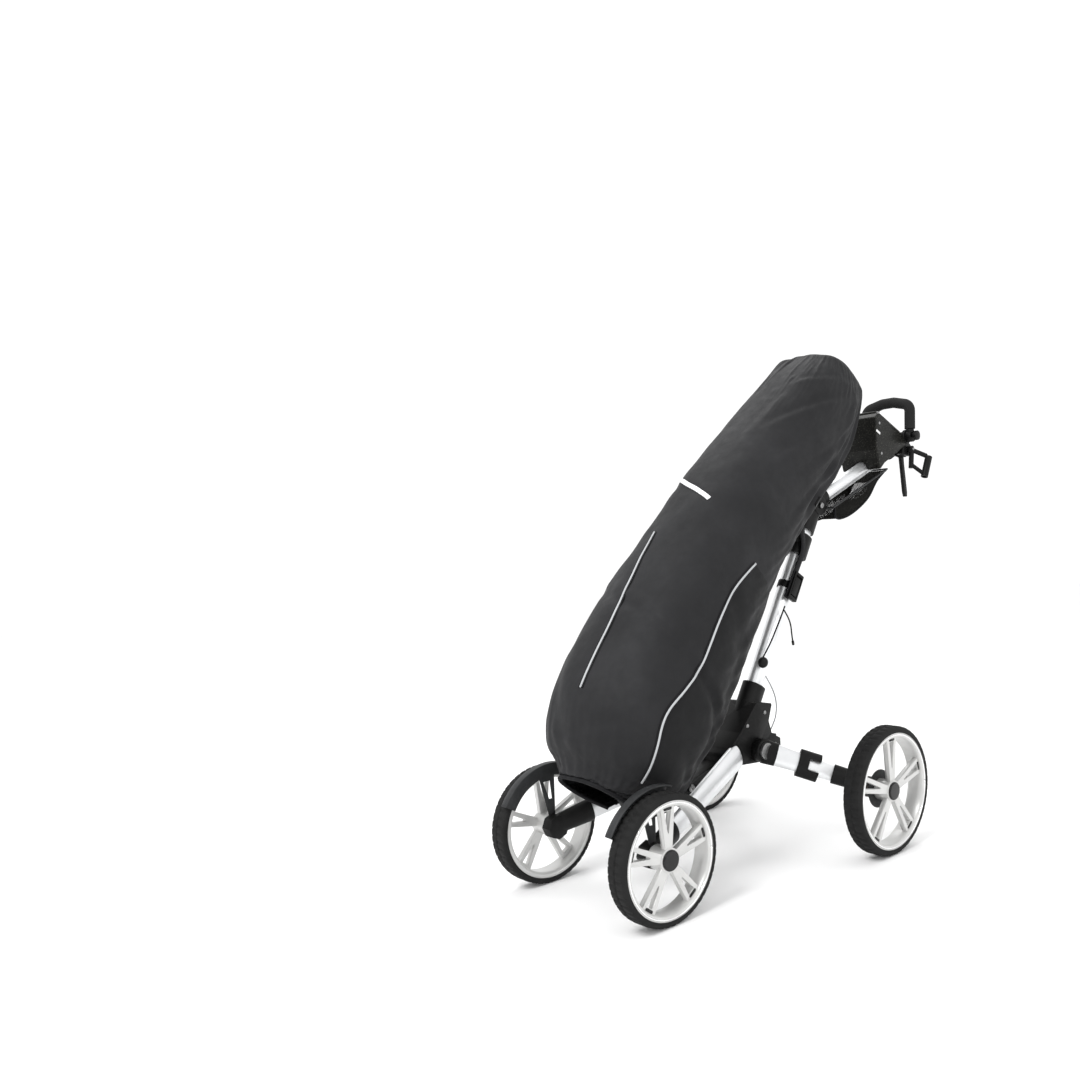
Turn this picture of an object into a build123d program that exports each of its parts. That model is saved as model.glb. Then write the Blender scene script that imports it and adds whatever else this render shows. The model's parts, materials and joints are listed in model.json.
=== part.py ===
from build123d import *
import math
import os

# Four-wheel golf push cart carrying a golf bag under a rain cover.  Millimetres, +Z up, +X is the
# cart's left, -Y is the way it rolls forward.  Shapes are laid out from the front axle (y = 0) and
# the ground (z = 0); ORIGIN_Y then moves the origin to the middle of the whole length.

# ---- driving dimensions -------------------------------------------------------------------------
WHEELBASE = 614.0
FRONT_TRACK = 417.0          # over the outer faces of the front tyres
REAR_TRACK = 627.0           # over the outer faces of the rear tyres
FRONT_TYRE_R = 128.0
REAR_TYRE_R = 147.5
FRONT_RIM_R = 115.0
REAR_RIM_R = 133.0
TYRE_W = 45.0
BARREL_R = 24.0              # hub barrel of a rim
BEARING_R = 11.0
FRONT_AXLE_R = 5.0
REAR_AXLE_R = 6.0
RUNNING_FIT = 0.04           # radial clearance of a shaft that turns
FACE_GAP = 1.5               # side gap between a hub barrel and its knuckle
SPOKES = 5
ORIGIN_Y = 531.54

PIVOT = (455.0, 238.0)       # rear leg fold shaft, (y, z)
TUBE_FOOT = (432.0, 262.0)   # main tube centre line, (y, z)
TUBE_HEAD = (742.0, 790.0)
NECK_FOOT = (777.0, 826.0)   # upper tube centre line
NECK_HEAD = (1140.0, 977.0)
TUBE_W = 34.0
TUBE_D = 46.0
NECK_D = 38.0
WALL = 2.0

HANDLE_PIVOT = (1124.0, 1002.0)
HANDLE_HALF = 70.0
LEVER_PIVOT = (1140.0, 962.0)

BAG_FOOT = (60.0, 285.0)     # start of the bag's centre line
BAG_LEAN = 50.0              # degrees above the ground
BAG_R = 104.0
BAG_LENGTH = 870.0
COVER_WALL = 3.0

# Sections of the rain cover, from hem to crown: y, z, half width, half depth, lean of the axis
COVER_SECTIONS = [
    (-4, 220, 84, 78, 52),
    (22, 250, 120, 114, 52),
    (40, 282, 152, 147, 52),
    (76, 342, 172, 168, 51),
    (142, 430, 178, 172, 50),
    (215, 522, 175, 168, 49),
    (300, 624, 163, 158, 49),
    (370, 706, 153, 150, 47),
    (452, 795, 148, 146, 45),
    (548, 884, 144, 142, 43),
    (645, 970, 142, 139, 43),
    (728, 1048, 134, 130, 45),
    (786, 1104, 112, 104, 50),
    (822, 1146, 64, 54, 56),
]

parts = {}


# ---- helpers ------------------------------------------------------------------------------------
def along(a, b):
    """Plane at a that looks along a to b, its x axis as near to X as can be, and the distance."""
    start = Vector(*a)
    run = Vector(*b) - start
    z_dir = run.normalized()
    x_dir = Vector(1, 0, 0) - z_dir * z_dir.X
    return Plane(origin=start, x_dir=x_dir.normalized(), z_dir=z_dir), run.length


def oval_bar(a, b, wide, deep, wide_end=None, deep_end=None):
    plane, length = along(a, b)
    start = plane * Ellipse(wide / 2, deep / 2)
    if wide_end is None:
        return extrude(start, amount=length)
    end = plane.offset(length) * Ellipse(wide_end / 2, deep_end / 2)
    return loft([start, end])


def rod(a, b, radius):
    plane, length = along(a, b)
    return extrude(plane * Circle(radius), amount=length)


def side_prism(outline, x0, x1, round_r=0.0):
    """Outline of (y, z) points drawn in the side view and given a thickness from x0 to x1."""
    face = make_face(Polyline(*outline, close=True))
    if round_r:
        face = fillet(face.vertices(), round_r)
    return extrude(Plane.YZ.offset(x0) * face, amount=x1 - x0)


def x_disc(y, z, radius, x0, x1):
    return extrude(Plane.YZ.offset(x0) * Pos(y, z) * Circle(radius), amount=x1 - x0)


def x_turned(outline, y, z):
    """Outline of (x, radius) points turned about an axis parallel to X."""
    return Pos(0, y, z) * revolve(make_face(Polyline(*outline, close=True)), Axis.X)


def mirrored(shape):
    return mirror(shape, about=Plane.YZ)


def both_sides(name, shape):
    parts[name + "_left"] = shape
    parts[name + "_right"] = mirrored(shape)


def solids_of(*shapes):
    """Loose solids kept together as one node."""
    return Compound([solid for shape in shapes for solid in shape.solids()])


def pair(name, shape):
    """A left piece and its mirror image as one node."""
    parts[name] = solids_of(shape, mirrored(shape))


def largest(shape):
    return max(shape.solids(), key=lambda solid: solid.volume)


def on_line(a, b, distance):
    """Point of the side view at a distance from a on the way to b."""
    length = math.dist(a, b)
    return tuple(p + (q - p) * distance / length for p, q in zip(a, b))


# ---- wheels -------------------------------------------------------------------------------------
def wheel(prefix, face_x, y, tyre_r, rim_r, axle_r):
    """One left wheel: tyre, spoked rim, bearings, hub cap, with its outer face at face_x."""
    def x(depth):
        return face_x - depth

    tyre = x_turned([
        (x(1), rim_r), (x(0), rim_r + 5), (x(4), tyre_r - 4), (x(11), tyre_r),
        (x(TYRE_W - 11), tyre_r), (x(TYRE_W - 4), tyre_r - 4), (x(TYRE_W), rim_r + 5),
        (x(TYRE_W - 1), rim_r),
    ], y, tyre_r)
    rim = x_turned([
        (x(1), rim_r), (x(1), rim_r - 9), (x(5), rim_r - 12), (x(TYRE_W - 5), rim_r - 12),
        (x(TYRE_W - 1), rim_r - 8), (x(TYRE_W - 1), rim_r),
    ], y, tyre_r)
    rim += x_disc(y, tyre_r, BARREL_R, x(TYRE_W), x(6))
    reach = rim_r - 11
    spoke = side_prism([(-9, BARREL_R - 4), (9, BARREL_R - 4), (19, reach), (-19, reach)], x(20), x(8))
    slot = side_prism([(-1.5, 52), (1.5, 52), (9, reach - 9), (-9, reach - 9)], x(21), x(7))
    spoke -= slot
    for k in range(SPOKES):
        turned = Rot(360 * k / SPOKES, 0, 0) * spoke
        rim += Pos(0, y, tyre_r) * turned
    rim -= x_disc(y, tyre_r, BEARING_R, x(TYRE_W + 1), x(5))
    inner = x_disc(y, tyre_r, BEARING_R, x(TYRE_W), x(TYRE_W - 8))
    outer = x_disc(y, tyre_r, BEARING_R, x(21), x(13))
    bore = x_disc(y, tyre_r, axle_r + RUNNING_FIT, x(TYRE_W + 1), x(5))
    cap = x_disc(y, tyre_r, 20.5, x(6), x(1))
    cap = fillet(cap.edges().filter_by(GeomType.CIRCLE).sort_by(Axis.X)[-1], 3)
    both_sides(prefix + "_tyre", tyre)
    both_sides(prefix + "_rim", rim)
    both_sides(prefix + "_bearings", solids_of(inner - bore, outer - bore))
    both_sides(prefix + "_hub_cap", cap)


wheel("front", FRONT_TRACK / 2, 0.0, FRONT_TYRE_R, FRONT_RIM_R, FRONT_AXLE_R)
wheel("rear", REAR_TRACK / 2, WHEELBASE, REAR_TYRE_R, REAR_RIM_R, REAR_AXLE_R)

FRONT_INNER_X = FRONT_TRACK / 2 - TYRE_W - FACE_GAP
REAR_INNER_X = REAR_TRACK / 2 - TYRE_W - FACE_GAP


def axle(y, z, radius, x0, face_x):
    """Axle bolt with the nut that keeps the wheel on, inside the hub barrel."""
    bolt = x_disc(y, z, radius, x0, face_x - 9)
    nut = extrude(Plane.YZ.offset(face_x - 12.6) * Pos(y, z) * RegularPolygon(9.5, 6), amount=5)
    return bolt + nut


pair("front_axles", axle(0, FRONT_TYRE_R, FRONT_AXLE_R, FRONT_INNER_X - 22, FRONT_TRACK / 2))
pair("rear_axles", axle(WHEELBASE, REAR_TYRE_R, REAR_AXLE_R, REAR_INNER_X - 24, REAR_TRACK / 2))

# ---- front legs, knuckles and mudguards ---------------------------------------------------------
front_leg_outer = oval_bar((38, 385, 234), (136, 46, 141), 30, 62, 24, 42)
front_leg = front_leg_outer - oval_bar((38, 385, 234), (136, 46, 141), 26, 58, 20, 38)
pair("front_legs", front_leg)

knuckle = extrude(
    Plane.YZ.offset(FRONT_INNER_X - 26) * Pos(0, FRONT_TYRE_R) * RegularPolygon(27, 8), amount=26)
knuckle += oval_bar((126, 82, 151), (150, 4, 131), 34, 52, 30, 44)
knuckle -= oval_bar((38, 385, 234), (136, 46, 141), 30, 62, 24, 42)
knuckle -= x_disc(0, FRONT_TYRE_R, FRONT_AXLE_R, FRONT_INNER_X - 22, FRONT_INNER_X + 2)
knuckle -= x_disc(0, FRONT_TYRE_R, 80, FRONT_INNER_X, FRONT_INNER_X + 40)
pair("front_knuckles", knuckle)

GUARD_R = FRONT_TYRE_R + 7.0
GUARD_REACH = 12.0           # how far the guard comes out over the tyre
guard = x_disc(0, FRONT_TYRE_R, GUARD_R + 3, FRONT_INNER_X - 6, FRONT_INNER_X + GUARD_REACH)
guard -= x_disc(0, FRONT_TYRE_R, GUARD_R, FRONT_INNER_X - 3, FRONT_INNER_X + 27)
guard -= x_disc(0, FRONT_TYRE_R, GUARD_R - 24, FRONT_INNER_X - 7, FRONT_INNER_X + 27)
wedge = side_prism(
    [(0, 0), (60, 190), (-60, 200), (-200, 110)], FRONT_INNER_X - 8, FRONT_INNER_X + 28)
guard = guard & Pos(0, 0, FRONT_TYRE_R) * wedge
stay = side_prism([(-10, 22), (6, 24), (8, 118), (-34, 118)], FRONT_INNER_X - 6, FRONT_INNER_X - 3)
stay -= side_prism([(-8, 60), (0, 60), (-4, 100), (-22, 100)], FRONT_INNER_X - 7, FRONT_INNER_X - 2)
guard += Pos(0, 0, FRONT_TYRE_R) * stay
guard -= knuckle
pair("front_mudguards", guard)

# ---- folding joint housing and main tube --------------------------------------------------------
HOUSING_HALF = 45.0
main_outer = oval_bar((0, *TUBE_FOOT), (0, *TUBE_HEAD), TUBE_W, TUBE_D)
parts["main_tube"] = main_outer - oval_bar(
    (0, *TUBE_FOOT), (0, *TUBE_HEAD), TUBE_W - 2 * WALL, TUBE_D - 2 * WALL)

housing = side_prism([
    (330, 202), (345, 246), (395, 288), (455, 350), (512, 340), (498, 300), (508, 268),
    (540, 252), (540, 230), (478, 206), (400, 212),
], -HOUSING_HALF, HOUSING_HALF, 5)
collar_top = on_line(TUBE_FOOT, TUBE_HEAD, 138)
collar_foot = on_line(TUBE_FOOT, TUBE_HEAD, 60)
housing += oval_bar((0, *collar_foot), (0, *collar_top), 52, 64)
housing -= main_outer
housing -= front_leg_outer
housing -= mirrored(front_leg_outer)
PIVOT_R = 9.0
housing -= x_disc(*PIVOT, PIVOT_R + RUNNING_FIT, -HOUSING_HALF - 1, HOUSING_HALF + 1)
LOCK_PIVOT = (524.0, 262.0)
lever_room = side_prism(
    [(496, 258), (500, 340), (580, 300), (580, 236), (528, 246)], -15, 15)
housing -= lever_room
parts["joint_housing"] = housing

lock = side_prism([(505, 262), (508, 300), (516, 300), (535, 262), (566, 254), (566, 248), (530, 250)],
                  -12, 12, 1.5)
lock -= x_disc(*LOCK_PIVOT, 3 + RUNNING_FIT, -16, 16)
parts["fold_release_lever"] = lock
parts["joint_housing"] -= x_disc(*LOCK_PIVOT, 3, -22, 22)

# ---- rear legs ----------------------------------------------------------------------------------
EYE_IN = HOUSING_HALF + 0.6
leg_root = (62, 466, 232)
leg_tip = (186, 574, 174)
eye = x_disc(*PIVOT, 27, EYE_IN, 66)
eye += oval_bar((56, 461, 235), (78, 481, 225), 34, 58, 34, 54)
eye &= Pos(EYE_IN + 100, 455, 238) * Box(200, 200, 200)
leg_outer = oval_bar(leg_root, leg_tip, 27, 54, 22, 36)
eye -= leg_outer
eye -= x_disc(*PIVOT, PIVOT_R, 40, 70)
pair("rear_leg_brackets", eye)
cap = x_disc(*PIVOT, 19, 66, 74) - eye - leg_outer
cap += x_disc(*PIVOT, PIVOT_R, 0, 66)
parts["rear_pivot_shaft"] = largest(cap + mirrored(cap))
leg_hollow = oval_bar(leg_root, leg_tip, 23, 50, 18, 32)
leg_clear = x_disc(*PIVOT, PIVOT_R, 40, 70) + x_disc(*PIVOT, 30, 0, EYE_IN)
pair("rear_legs", largest(leg_outer - leg_hollow - leg_clear))

clamp_a = (116, 513, 207)
clamp_b = (152, 545, 190)
clamp_plane, clamp_run = along(clamp_a, clamp_b)
clamp = oval_bar(clamp_a, clamp_b, 40, 66) - leg_outer
clamp -= clamp_plane * Pos(0, 0, clamp_run * 0.75) * Box(60, 26, clamp_run * 0.55)
pair("leg_clamps", largest(clamp - leg_outer))

rear_knuckle = oval_bar((176, 565, 178), (236, 600, 158), 34, 46, 34, 42)
rear_knuckle += x_disc(WHEELBASE, REAR_TYRE_R, 24, 228, REAR_INNER_X)
rear_knuckle -= x_disc(WHEELBASE, REAR_TYRE_R, REAR_AXLE_R, REAR_INNER_X - 24, REAR_INNER_X + 1)
rear_knuckle -= leg_outer
PAD = (WHEELBASE - 33.0, REAR_TYRE_R + 3.0)
rear_knuckle += x_disc(*PAD, 11, 232, REAR_INNER_X - 6)
rear_knuckle -= x_disc(*PAD, 5 + RUNNING_FIT, 238, REAR_INNER_X + 1)
rear_knuckle -= x_disc(*PAD, 10.5, REAR_INNER_X - 6, REAR_INNER_X + 1)
pair("rear_knuckles", rear_knuckle)
pad = x_disc(*PAD, 5, 242, REAR_INNER_X - 5) + x_disc(*PAD, 9, REAR_INNER_X - 5.5, REAR_INNER_X - 1.5)
both_sides("brake_pad", pad)
disc_plate = x_disc(WHEELBASE, REAR_TYRE_R, 44, REAR_INNER_X + 1.5, REAR_INNER_X + 4.5)
disc_plate -= x_disc(WHEELBASE, REAR_TYRE_R, BARREL_R, REAR_INNER_X, REAR_INNER_X + 6)
both_sides("brake_disc", disc_plate)

# ---- top joint, upper tube and bag brackets -----------------------------------------------------
neck_outer = oval_bar((0, *NECK_FOOT), (0, *NECK_HEAD), TUBE_W, NECK_D)
parts["upper_tube"] = neck_outer - oval_bar(
    (0, *NECK_FOOT), (0, *NECK_HEAD), TUBE_W - 2 * WALL, NECK_D - 2 * WALL)
bend = oval_bar((0, *on_line(TUBE_HEAD, TUBE_FOOT, 48)), (0, *on_line(TUBE_HEAD, TUBE_FOOT, -14)), 46, 58)
bend += oval_bar((0, *on_line(NECK_FOOT, NECK_HEAD, -20)), (0, *on_line(NECK_FOOT, NECK_HEAD, 26)), 44, 50)
bend += x_disc(760, 812, 25, -24, 24)
bend -= main_outer
bend -= neck_outer
bend -= x_disc(760, 812, 5, -30, 30)
parts["top_joint"] = bend

bracket_at = on_line(TUBE_FOOT, TUBE_HEAD, 520)
bracket = oval_bar((0, *on_line(TUBE_FOOT, TUBE_HEAD, 492)), (0, *on_line(TUBE_FOOT, TUBE_HEAD, 548)),
                   48, 60)
SADDLE_Y, SADDLE_Z = 550.0, 886.0       # centre of the cover where the bracket meets it
SADDLE_R = 149.0
saddle_dir = Vector(0, math.cos(math.radians(43)), math.sin(math.radians(43)))
saddle_plane = Plane(origin=(0, SADDLE_Y, SADDLE_Z), x_dir=(1, 0, 0), z_dir=saddle_dir)


def saddle_arc(start_deg, end_deg, r0, r1, thick):
    """Arc about the bag's axis; 0 degrees is straight behind the bag, positive towards +X."""
    points = []
    steps = 12
    for radius, order in ((r1, range(steps + 1)), (r0, range(steps, -1, -1))):
        for k in order:
            turn = math.radians(start_deg + (end_deg - start_deg) * k / steps)
            points.append((radius * math.sin(turn), radius * math.cos(turn)))
    face = make_face(Polyline(*points, close=True))
    return extrude(saddle_plane * face, amount=thick / 2, both=True)


post_top = saddle_plane.from_local_coords(Vector(0, SADDLE_R + 12, 0))
bracket += oval_bar((0, *bracket_at), tuple(post_top), 40, 34)
bracket += saddle_arc(-9, 9, SADDLE_R, SADDLE_R + 12, 34)
bracket -= main_outer
parts["upper_bag_bracket"] = bracket


# Two arms reach round the sides of the bag; each swings out on a pin at the end of the saddle.
ARM_HINGE_DEG = 13.0
ARM_PIN_R = 3.0
hinge_r = SADDLE_R + 7.0
hinge_turn = math.radians(ARM_HINGE_DEG)
hinge_at = saddle_plane.from_local_coords(
    Vector(hinge_r * math.sin(hinge_turn), hinge_r * math.cos(hinge_turn), 0))
hinge_plane = Plane(origin=hinge_at, x_dir=(1, 0, 0), z_dir=saddle_dir)
arm = saddle_arc(17, 52, SADDLE_R, SADDLE_R + 7, 26) + saddle_arc(15, 20, SADDLE_R + 2, SADDLE_R + 12, 16)
arm += extrude(hinge_plane * Circle(8), amount=8, both=True)
arm -= extrude(hinge_plane * Circle(ARM_PIN_R + RUNNING_FIT), amount=20, both=True)
fork = saddle_arc(5, ARM_HINGE_DEG, SADDLE_R, SADDLE_R + 13, 34)
fork += extrude(hinge_plane * Circle(8), amount=17, both=True)
fork -= extrude(hinge_plane * Circle(11), amount=8.6, both=True)
fork -= saddle_arc(ARM_HINGE_DEG, 22, SADDLE_R - 2, SADDLE_R + 20, 17.2)
arm_pin = extrude(hinge_plane * Circle(ARM_PIN_R), amount=17, both=True)
parts["upper_bag_bracket"] = parts["upper_bag_bracket"] + fork + mirrored(fork)
parts["upper_bag_bracket"] = parts["upper_bag_bracket"] - arm_pin - mirrored(arm_pin) - main_outer
both_sides("bracket_arm", arm)


# Strap buckle with a cam lever, on the main tube just under the bracket
STRAP_X = 22.0
buckle_top = on_line(TUBE_FOOT, TUBE_HEAD, 440)
buckle_foot = on_line(TUBE_FOOT, TUBE_HEAD, 370)
strap_plane, strap_run = along((STRAP_X, *buckle_foot), (STRAP_X, *buckle_top))
buckle = strap_plane * Pos(5, 0, strap_run / 2) * Box(12, 34, strap_run)
buckle -= strap_plane * Pos(7.1, 0, strap_run / 2) * Box(8.2, 26, strap_run - 14)
clip_band = oval_bar((0, *on_line(TUBE_FOOT, TUBE_HEAD, 396)), (0, *on_line(TUBE_FOOT, TUBE_HEAD, 414)),
                     TUBE_W + 5, TUBE_D + 5) - main_outer
clip_band -= strap_plane * Pos(5, 0, strap_run / 2) * Box(12, 36, strap_run + 2)
BUCKLE_AXIS_Z = strap_run - 14
buckle_pin_plane = strap_plane * Pos(7, 0, BUCKLE_AXIS_Z) * Rot(90, 0, 0)
buckle_pin = buckle_pin_plane * Cylinder(1.5, 34)
buckle -= buckle_pin
parts["strap_buckle"] = solids_of(buckle, clip_band)
cam = strap_plane * Pos(9.2, 0, strap_run / 2 - 2) * Box(2.4, 22, strap_run - 24)
cam += buckle_pin_plane * Cylinder(3.2, 22)
cam -= buckle_pin_plane * Cylinder(1.5 + RUNNING_FIT, 40)
parts["buckle_lever"] = cam

# ---- console over the upper tube ----------------------------------------------------------------
CONSOLE_HALF = 60.0
CONSOLE_ROUND = 5.0
LID_HALF = 52.0
LID_LENGTH = 113.0
console = side_prism([
    (985, 905), (968, 960), (968, 1046), (984, 1058), (1110, 1004), (1118, 990), (1112, 974),
    (1062, 950), (1010, 925),
], -CONSOLE_HALF, CONSOLE_HALF, 6)
console = fillet(console.edges().filter_by(GeomType.LINE).filter_by(
    lambda e: abs(e.center().X) > CONSOLE_HALF - 0.1), CONSOLE_ROUND)
tray_slope = math.degrees(math.atan2(1004 - 1058, 1110 - 984))
tray_plane = Plane(origin=(0, 1047, 1031), x_dir=(1, 0, 0),
                   z_dir=(0, -math.sin(math.radians(tray_slope)), math.cos(math.radians(tray_slope))))
console -= tray_plane * Pos(0, 0, -8) * Box(LID_HALF * 2 - 8, 104, 40)
console -= side_prism([(982, 920), (974, 960), (974, 1016), (1096, 966), (1062, 955), (1010, 930)],
                      -CONSOLE_HALF + 4, CONSOLE_HALF - 4)
tunnel = oval_bar((0, *on_line(NECK_FOOT, NECK_HEAD, 150)), (0, *NECK_HEAD), TUBE_W + 6, NECK_D + 6)
console -= tunnel
console -= side_prism([(1020, 900), (1056, 958), (1090, 975), (1130, 985), (1130, 900)], -30, 30)
parts["console_tray"] = largest(console)
lid_plane = tray_plane * Pos(0, 0, 4)
LID_HINGE = tray_plane.from_local_coords(Vector(0, -61, 6))
lid = lid_plane * Pos(0, LID_LENGTH / 2 - 57.5, 0) * Box(LID_HALF * 2, LID_LENGTH, 4)
lid_hinge_rod = Plane(origin=LID_HINGE, x_dir=(0, 1, 0), z_dir=(1, 0, 0))
lid += extrude(lid_hinge_rod * Circle(4), amount=46, both=True)
lid_pin = extrude(lid_hinge_rod * Circle(1.5), amount=56, both=True)
lid -= extrude(lid_hinge_rod * Circle(1.5 + RUNNING_FIT), amount=60, both=True)
ear = extrude(Plane(origin=(47, LID_HINGE.Y, LID_HINGE.Z), x_dir=(0, 1, 0), z_dir=(1, 0, 0)) * Circle(4.2),
              amount=8)
ears = ear + mirrored(ear)
lid -= extrude(lid_hinge_rod * Circle(5), amount=56, both=True) - extrude(
    lid_hinge_rod * Circle(5), amount=46.4, both=True)
knuckle_room = extrude(lid_hinge_rod * Circle(5), amount=46.5, both=True)
parts["console_tray"] = largest(parts["console_tray"] - knuckle_room + ears - lid_pin - lid)
parts["console_lid"] = lid
CLIP_PIVOT = tray_plane.from_local_coords(Vector(0, -34, 9.6))
clip_rod = Plane(origin=CLIP_PIVOT, x_dir=(0, 1, 0), z_dir=(1, 0, 0))
clip = tray_plane * Pos(0, -12, 9.4) * Box(40, 44, 1.6)
clip += extrude(clip_rod * Circle(3), amount=16, both=True)
clip_ear = tray_plane * Pos(19.5, -34, 8.3) * Box(5, 7, 4.6)
trunnion = extrude(clip_rod * Circle(1.2), amount=22, both=True)
clip_ears = (clip_ear + mirrored(clip_ear)) - extrude(
    clip_rod * Circle(1.2 + RUNNING_FIT), amount=23, both=True)
clip -= extrude(clip_rod * Circle(4), amount=24, both=True) - extrude(
    clip_rod * Circle(4), amount=16.4, both=True)
parts["scorecard_clip"] = clip + trunnion
parts["console_lid"] = parts["console_lid"] + clip_ears

# ---- handle -------------------------------------------------------------------------------------
yoke = oval_bar((0, *on_line(NECK_FOOT, NECK_HEAD, 366)), (0, *on_line(NECK_FOOT, NECK_HEAD, 404)), 46, 50)
yoke += x_disc(*HANDLE_PIVOT, 14, -HANDLE_HALF + 9, HANDLE_HALF - 9)
yoke += x_disc(*HANDLE_PIVOT, 19, -HANDLE_HALF + 9, -HANDLE_HALF + 17)
yoke += x_disc(*HANDLE_PIVOT, 19, HANDLE_HALF - 17, HANDLE_HALF - 9)
yoke -= neck_outer
yoke -= x_disc(*HANDLE_PIVOT, 4, -HANDLE_HALF - 20, HANDLE_HALF + 20)
parts["console_tray"] -= x_disc(*HANDLE_PIVOT, 20, -80, 80)
parts["console_tray"] = largest(parts["console_tray"] - yoke)
lever_gap = x_disc(*LEVER_PIVOT, 14, 22, 34)
yoke += side_prism([(1128, 985), (1112, 955), (1150, 948), (1156, 975), (1146, 990)], 17, 39) - neck_outer
yoke -= x_disc(*HANDLE_PIVOT, 4, -HANDLE_HALF - 20, HANDLE_HALF + 20)
yoke -= lever_gap
yoke -= side_prism([(1100, 940), (1180, 930), (1160, 975), (1120, 975)], 22, 34)
yoke -= x_disc(*LEVER_PIVOT, 3, 10, 45)
parts["handle_yoke"] = yoke
bolt = x_disc(*HANDLE_PIVOT, 4, -HANDLE_HALF - 14, HANDLE_HALF + 14)
knob = x_disc(*HANDLE_PIVOT, 13, HANDLE_HALF + 14, HANDLE_HALF + 23)
parts["handle_bolt"] = bolt + knob + mirrored(knob)
handle_path = FilletPolyline(
    (HANDLE_HALF, 1122, 1022), (HANDLE_HALF, 1124, 1088), (18, 1127, 1101), (-18, 1127, 1101),
    (-HANDLE_HALF, 1124, 1088), (-HANDLE_HALF, 1122, 1022), radius=22)
path_start = Plane(origin=handle_path @ 0, z_dir=handle_path % 0)
handle_core = sweep(path_start * Circle(7), path=handle_path)
handle_grip = sweep(path_start * Circle(14.5), path=handle_path) - handle_core
side_disc = x_disc(*HANDLE_PIVOT, 16, HANDLE_HALF - 8.4, HANDLE_HALF + 8)
side_disc += rod((HANDLE_HALF, 1124, 1004), (HANDLE_HALF, 1122, 1022), 11)
side_disc -= x_disc(*HANDLE_PIVOT, 4 + RUNNING_FIT, 40, 100)
side_disc -= x_disc(*HANDLE_PIVOT, 60, 30, HANDLE_HALF - 8.4)
parts["handle_grip"] = handle_grip
end_fitting = largest(side_disc - handle_core - handle_grip)
parts["handle_frame"] = solids_of(handle_core, end_fitting, mirrored(end_fitting))

# ---- brake lever, umbrella socket ---------------------------------------------------------------
lever = side_prism([(1133, 962), (1140, 970), (1149, 962), (1152, 930), (1165, 850), (1164, 838),
                    (1155, 838), (1150, 850), (1139, 925)], 24, 32, 2)
lever -= x_disc(*LEVER_PIVOT, 3 + RUNNING_FIT, 10, 45)
parts["brake_lever"] = lever
socket_top = (92, 1182, 945)
socket_foot = (92, 1156, 889)
socket = rod(socket_foot, socket_top, 10)
socket_bore = rod(socket_foot, socket_top, 6.5)
socket_arm = rod((60, 1146, 966), socket_top, 6.5) + rod((60, 1143, 925), (90, 1157, 897), 5.5)
socket_arm += rod((60, 1146, 970), (60, 1141, 915), 7)
socket_arm += rod((56, 1142, 968), (66, 1146, 968), 8)
socket_arm += socket
socket_arm -= socket_bore
socket_arm -= rod(socket_top, (92, 1195, 973), 9)
socket_arm -= side_prism([(1100, 900), (1200, 900), (1200, 1000), (1100, 1000)], 30, 52.4)
SOCKET_PIVOT = (1142.0, 968.0)
SOCKET_PIN_R = 4.0
socket_arm += x_disc(*SOCKET_PIVOT, 9, 52.4, 66)
socket_arm -= x_disc(*SOCKET_PIVOT, SOCKET_PIN_R + RUNNING_FIT, 40, 80)
parts["umbrella_socket"] = largest(socket_arm)
parts["handle_yoke"] += side_prism([(1118, 990), (1110, 955), (1152, 950), (1156, 980), (1140, 992)],
                                   38, 51.8) - x_disc(*HANDLE_PIVOT, 4, 0, 90)
parts["handle_yoke"] -= x_disc(*SOCKET_PIVOT, SOCKET_PIN_R, 36, 60) + x_disc(*LEVER_PIVOT, 3, 10, 39)
parts["handle_yoke"] = largest(parts["handle_yoke"] - neck_outer)

# ---- net pouch under the upper tube -------------------------------------------------------------
POUCH_HALF = 38.0
pouch_profile = [(800, 806), (1046, 908), (1004, 878), (962, 832), (905, 798), (850, 778), (806, 776)]
pouch = side_prism(pouch_profile, -POUCH_HALF, POUCH_HALF, 4)
pouch_room = side_prism([(804, 818), (1060, 924), (1001, 879), (959, 834), (903, 801), (850, 781),
                         (808, 779)], -POUCH_HALF + 2, POUCH_HALF - 2)
parts["net_pouch"] = pouch - pouch_room
HOOP_R = 2.5
hoop_foot = (796.0, 806.0)
hoop_head = (1052.0, 912.0)
hoop = x_disc(*hoop_foot, HOOP_R, -POUCH_HALF, POUCH_HALF)
hoop += x_disc(*hoop_head, HOOP_R, -POUCH_HALF, POUCH_HALF)
for side in (-1, 1):
    hoop += rod((side * POUCH_HALF, *hoop_foot), (side * POUCH_HALF, *hoop_head), HOOP_R)
    for corner in (hoop_foot, hoop_head):
        hoop += Pos(side * POUCH_HALF, *corner) * Sphere(HOOP_R)
hoop -= parts["top_joint"]
hoop -= neck_outer
parts["pouch_hoop"] = hoop - parts["console_tray"]
parts["net_pouch"] = parts["net_pouch"] - hoop - parts["top_joint"]

# ---- lower cradle -------------------------------------------------------------------------------
lean = math.radians(BAG_LEAN)
bag_dir = (math.cos(lean), math.sin(lean))
bag_down = (math.sin(lean), -math.cos(lean))     # square to the bag, towards the ground


def by_bag(s, down):
    """Side view point at a distance s up the bag's centre line and a distance below it."""
    return (BAG_FOOT[0] + s * bag_dir[0] + down * bag_down[0],
            BAG_FOOT[1] + s * bag_dir[1] + down * bag_down[1])


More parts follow.
